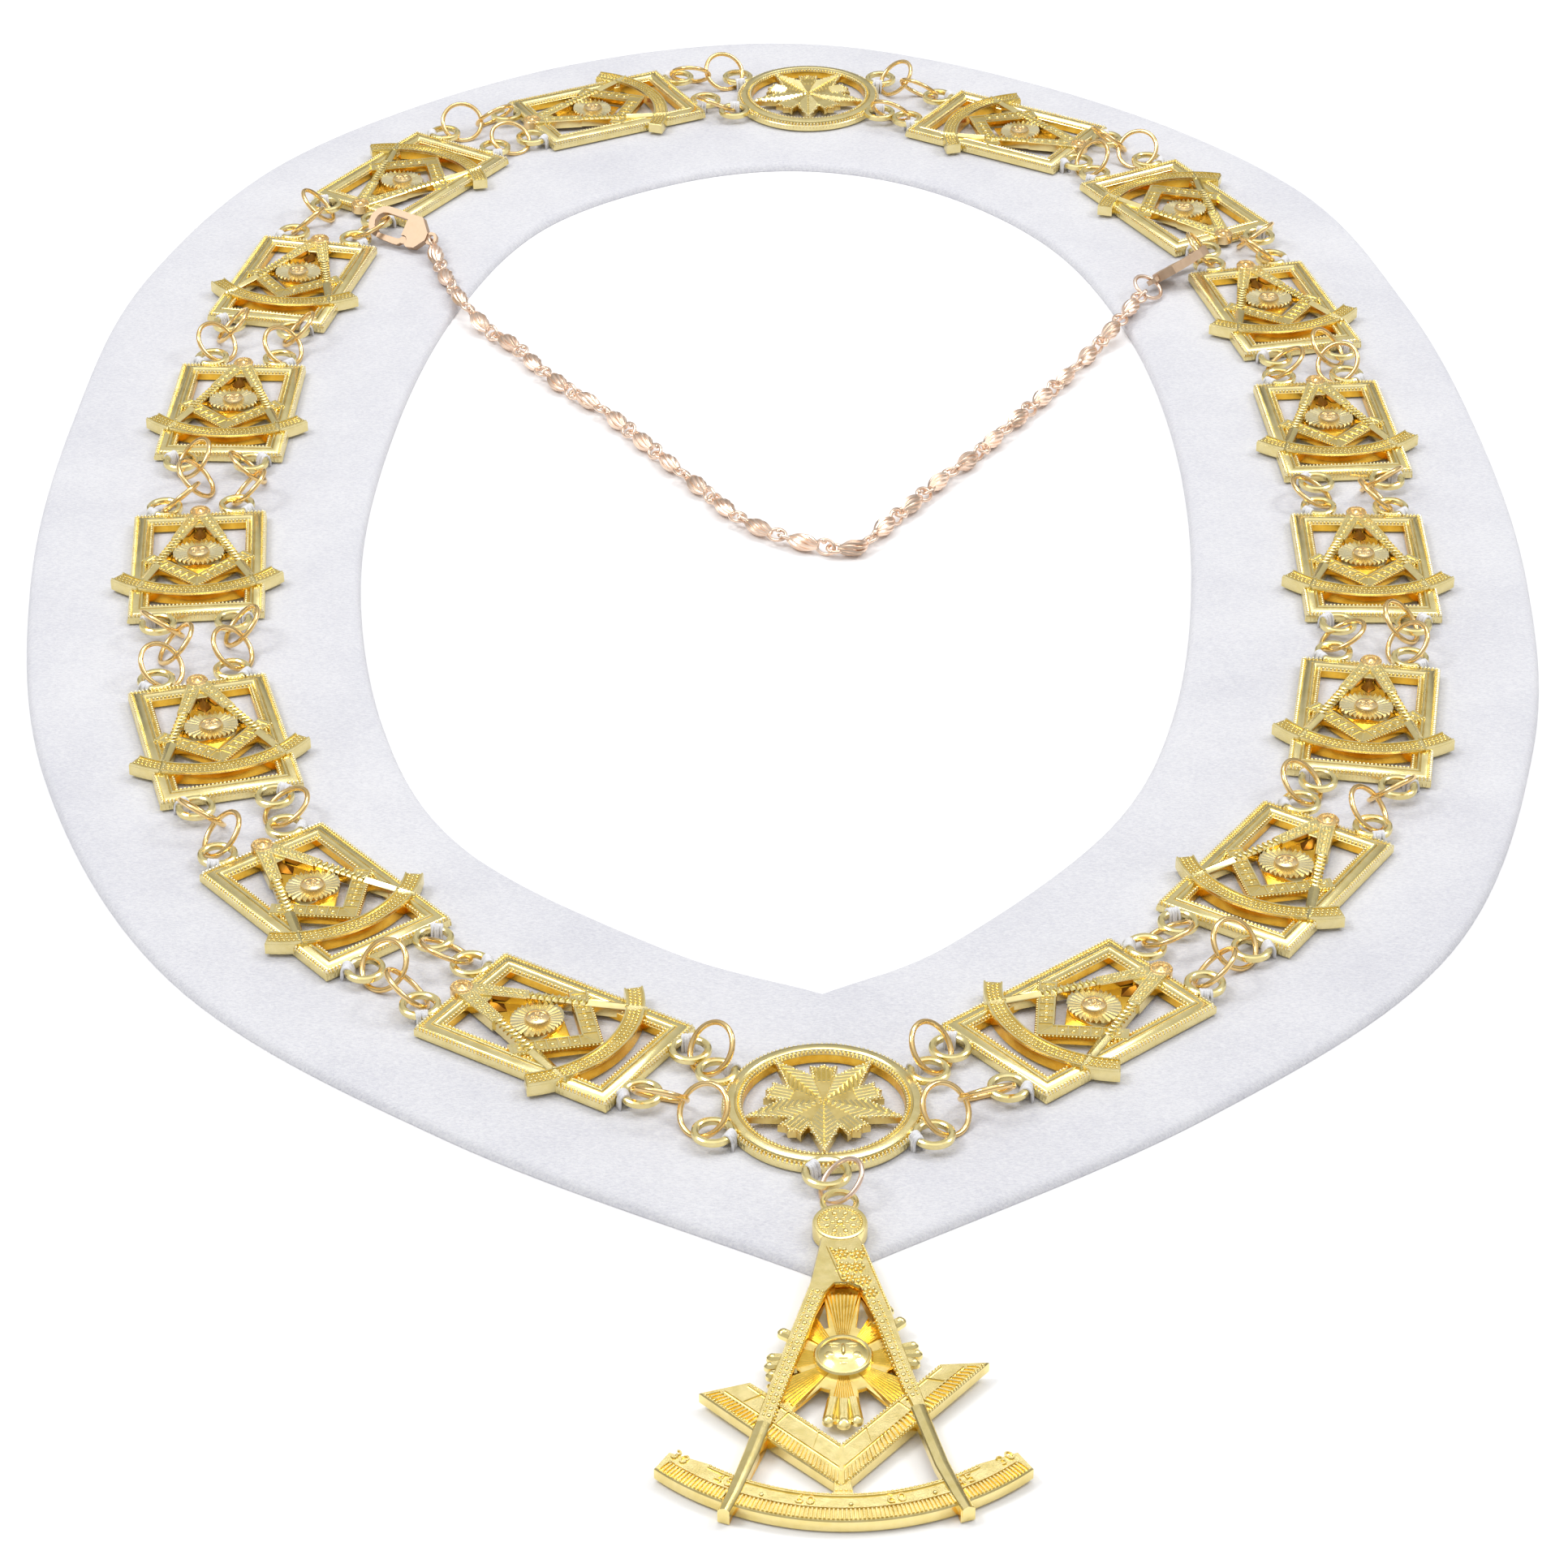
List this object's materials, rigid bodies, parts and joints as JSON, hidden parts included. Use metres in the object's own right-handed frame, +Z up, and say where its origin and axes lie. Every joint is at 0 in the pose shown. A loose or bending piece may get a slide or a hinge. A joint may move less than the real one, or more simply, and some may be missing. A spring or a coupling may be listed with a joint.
{
  "type": "masonic chain collar",
  "caption": "Lodge officer's chain collar laid flat: cast square-and-compass plaques linked over a white velvet band, with a compass-and-square pendant jewel.",
  "frame": {"origin": "under the middle of the whole outline, on the surface that the collar lies on", "axes": "+Z up from the surface, +Y from the pendant to the back of the neck, +X to the wearer's left"},
  "size_m": [0.452, 0.8116, 0.0143],
  "materials": {
    "gilt": "polished gilt casting",
    "rose_gilt": "polished rose-gilt wire",
    "velvet": "short white velvet pile"
  },
  "bodies": {
    "collar": {"velvet_backing": "velvet", "plaque_left_1": "gilt", "plaque_left_2": "gilt", "plaque_left_3": "gilt", "plaque_left_4": "gilt", "plaque_left_5": "gilt", "plaque_left_6": "gilt", "plaque_left_7": "gilt", "plaque_left_8": "gilt", "plaque_right_1": "gilt", "plaque_right_2": "gilt", "plaque_right_3": "gilt", "plaque_right_4": "gilt", "plaque_right_5": "gilt", "plaque_right_6": "gilt", "plaque_right_7": "gilt", "plaque_right_8": "gilt", "front_roundel": "gilt", "back_roundel": "gilt", "pendant_jewel": "gilt", "links_left_inner_1": "rose_gilt", "links_left_inner_2": "rose_gilt", "links_left_inner_3": "rose_gilt", "links_left_inner_4": "rose_gilt", "links_left_inner_5": "rose_gilt", "links_left_inner_6": "rose_gilt", "links_left_inner_7": "rose_gilt", "links_left_inner_8": "rose_gilt", "links_left_inner_9": "rose_gilt", "links_right_inner_1": "rose_gilt", "links_right_inner_2": "rose_gilt", "links_right_inner_3": "rose_gilt", "links_right_inner_4": "rose_gilt", "links_right_inner_5": "rose_gilt", "links_right_inner_6": "rose_gilt", "links_right_inner_7": "rose_gilt", "links_right_inner_8": "rose_gilt", "links_right_inner_9": "rose_gilt", "links_left_outer_1": "rose_gilt", "links_left_outer_2": "rose_gilt", "links_left_outer_3": "rose_gilt", "links_left_outer_4": "rose_gilt", "links_left_outer_5": "rose_gilt", "links_left_outer_6": "rose_gilt", "links_left_outer_7": "rose_gilt", "links_left_outer_8": "rose_gilt", "links_right_outer_1": "rose_gilt", "links_right_outer_2": "rose_gilt", "links_right_outer_3": "rose_gilt", "links_right_outer_4": "rose_gilt", "links_right_outer_5": "rose_gilt", "links_right_outer_6": "rose_gilt", "links_right_outer_7": "rose_gilt", "links_right_outer_8": "rose_gilt", "pendant_ring": "rose_gilt", "safety_chain": "rose_gilt", "clasp_left": "rose_gilt", "clasp_right": "rose_gilt"},
    "lever_left": {"clasp_lever_left": "rose_gilt"},
    "lever_right": {"clasp_lever_right": "rose_gilt"}
  },
  "joints": [
    {"name": "clasp_left_lever", "type": "hinge", "parent": "collar", "child": "lever_left", "pos_m": [-0.12735, 0.23253, 0.00572], "axis": [0.3311, 0.6669, -0.6675], "range_deg": [0, 20], "stiffness_Nm_per_rad": 0.002, "springref_deg": -20.05},
    {"name": "clasp_right_lever", "type": "hinge", "parent": "collar", "child": "lever_right", "pos_m": [0.13128, 0.20933, 0.00576], "axis": [0.4935, -0.3841, -0.7803], "range_deg": [0, 20], "stiffness_Nm_per_rad": 0.002, "springref_deg": -20.05}
  ]
}
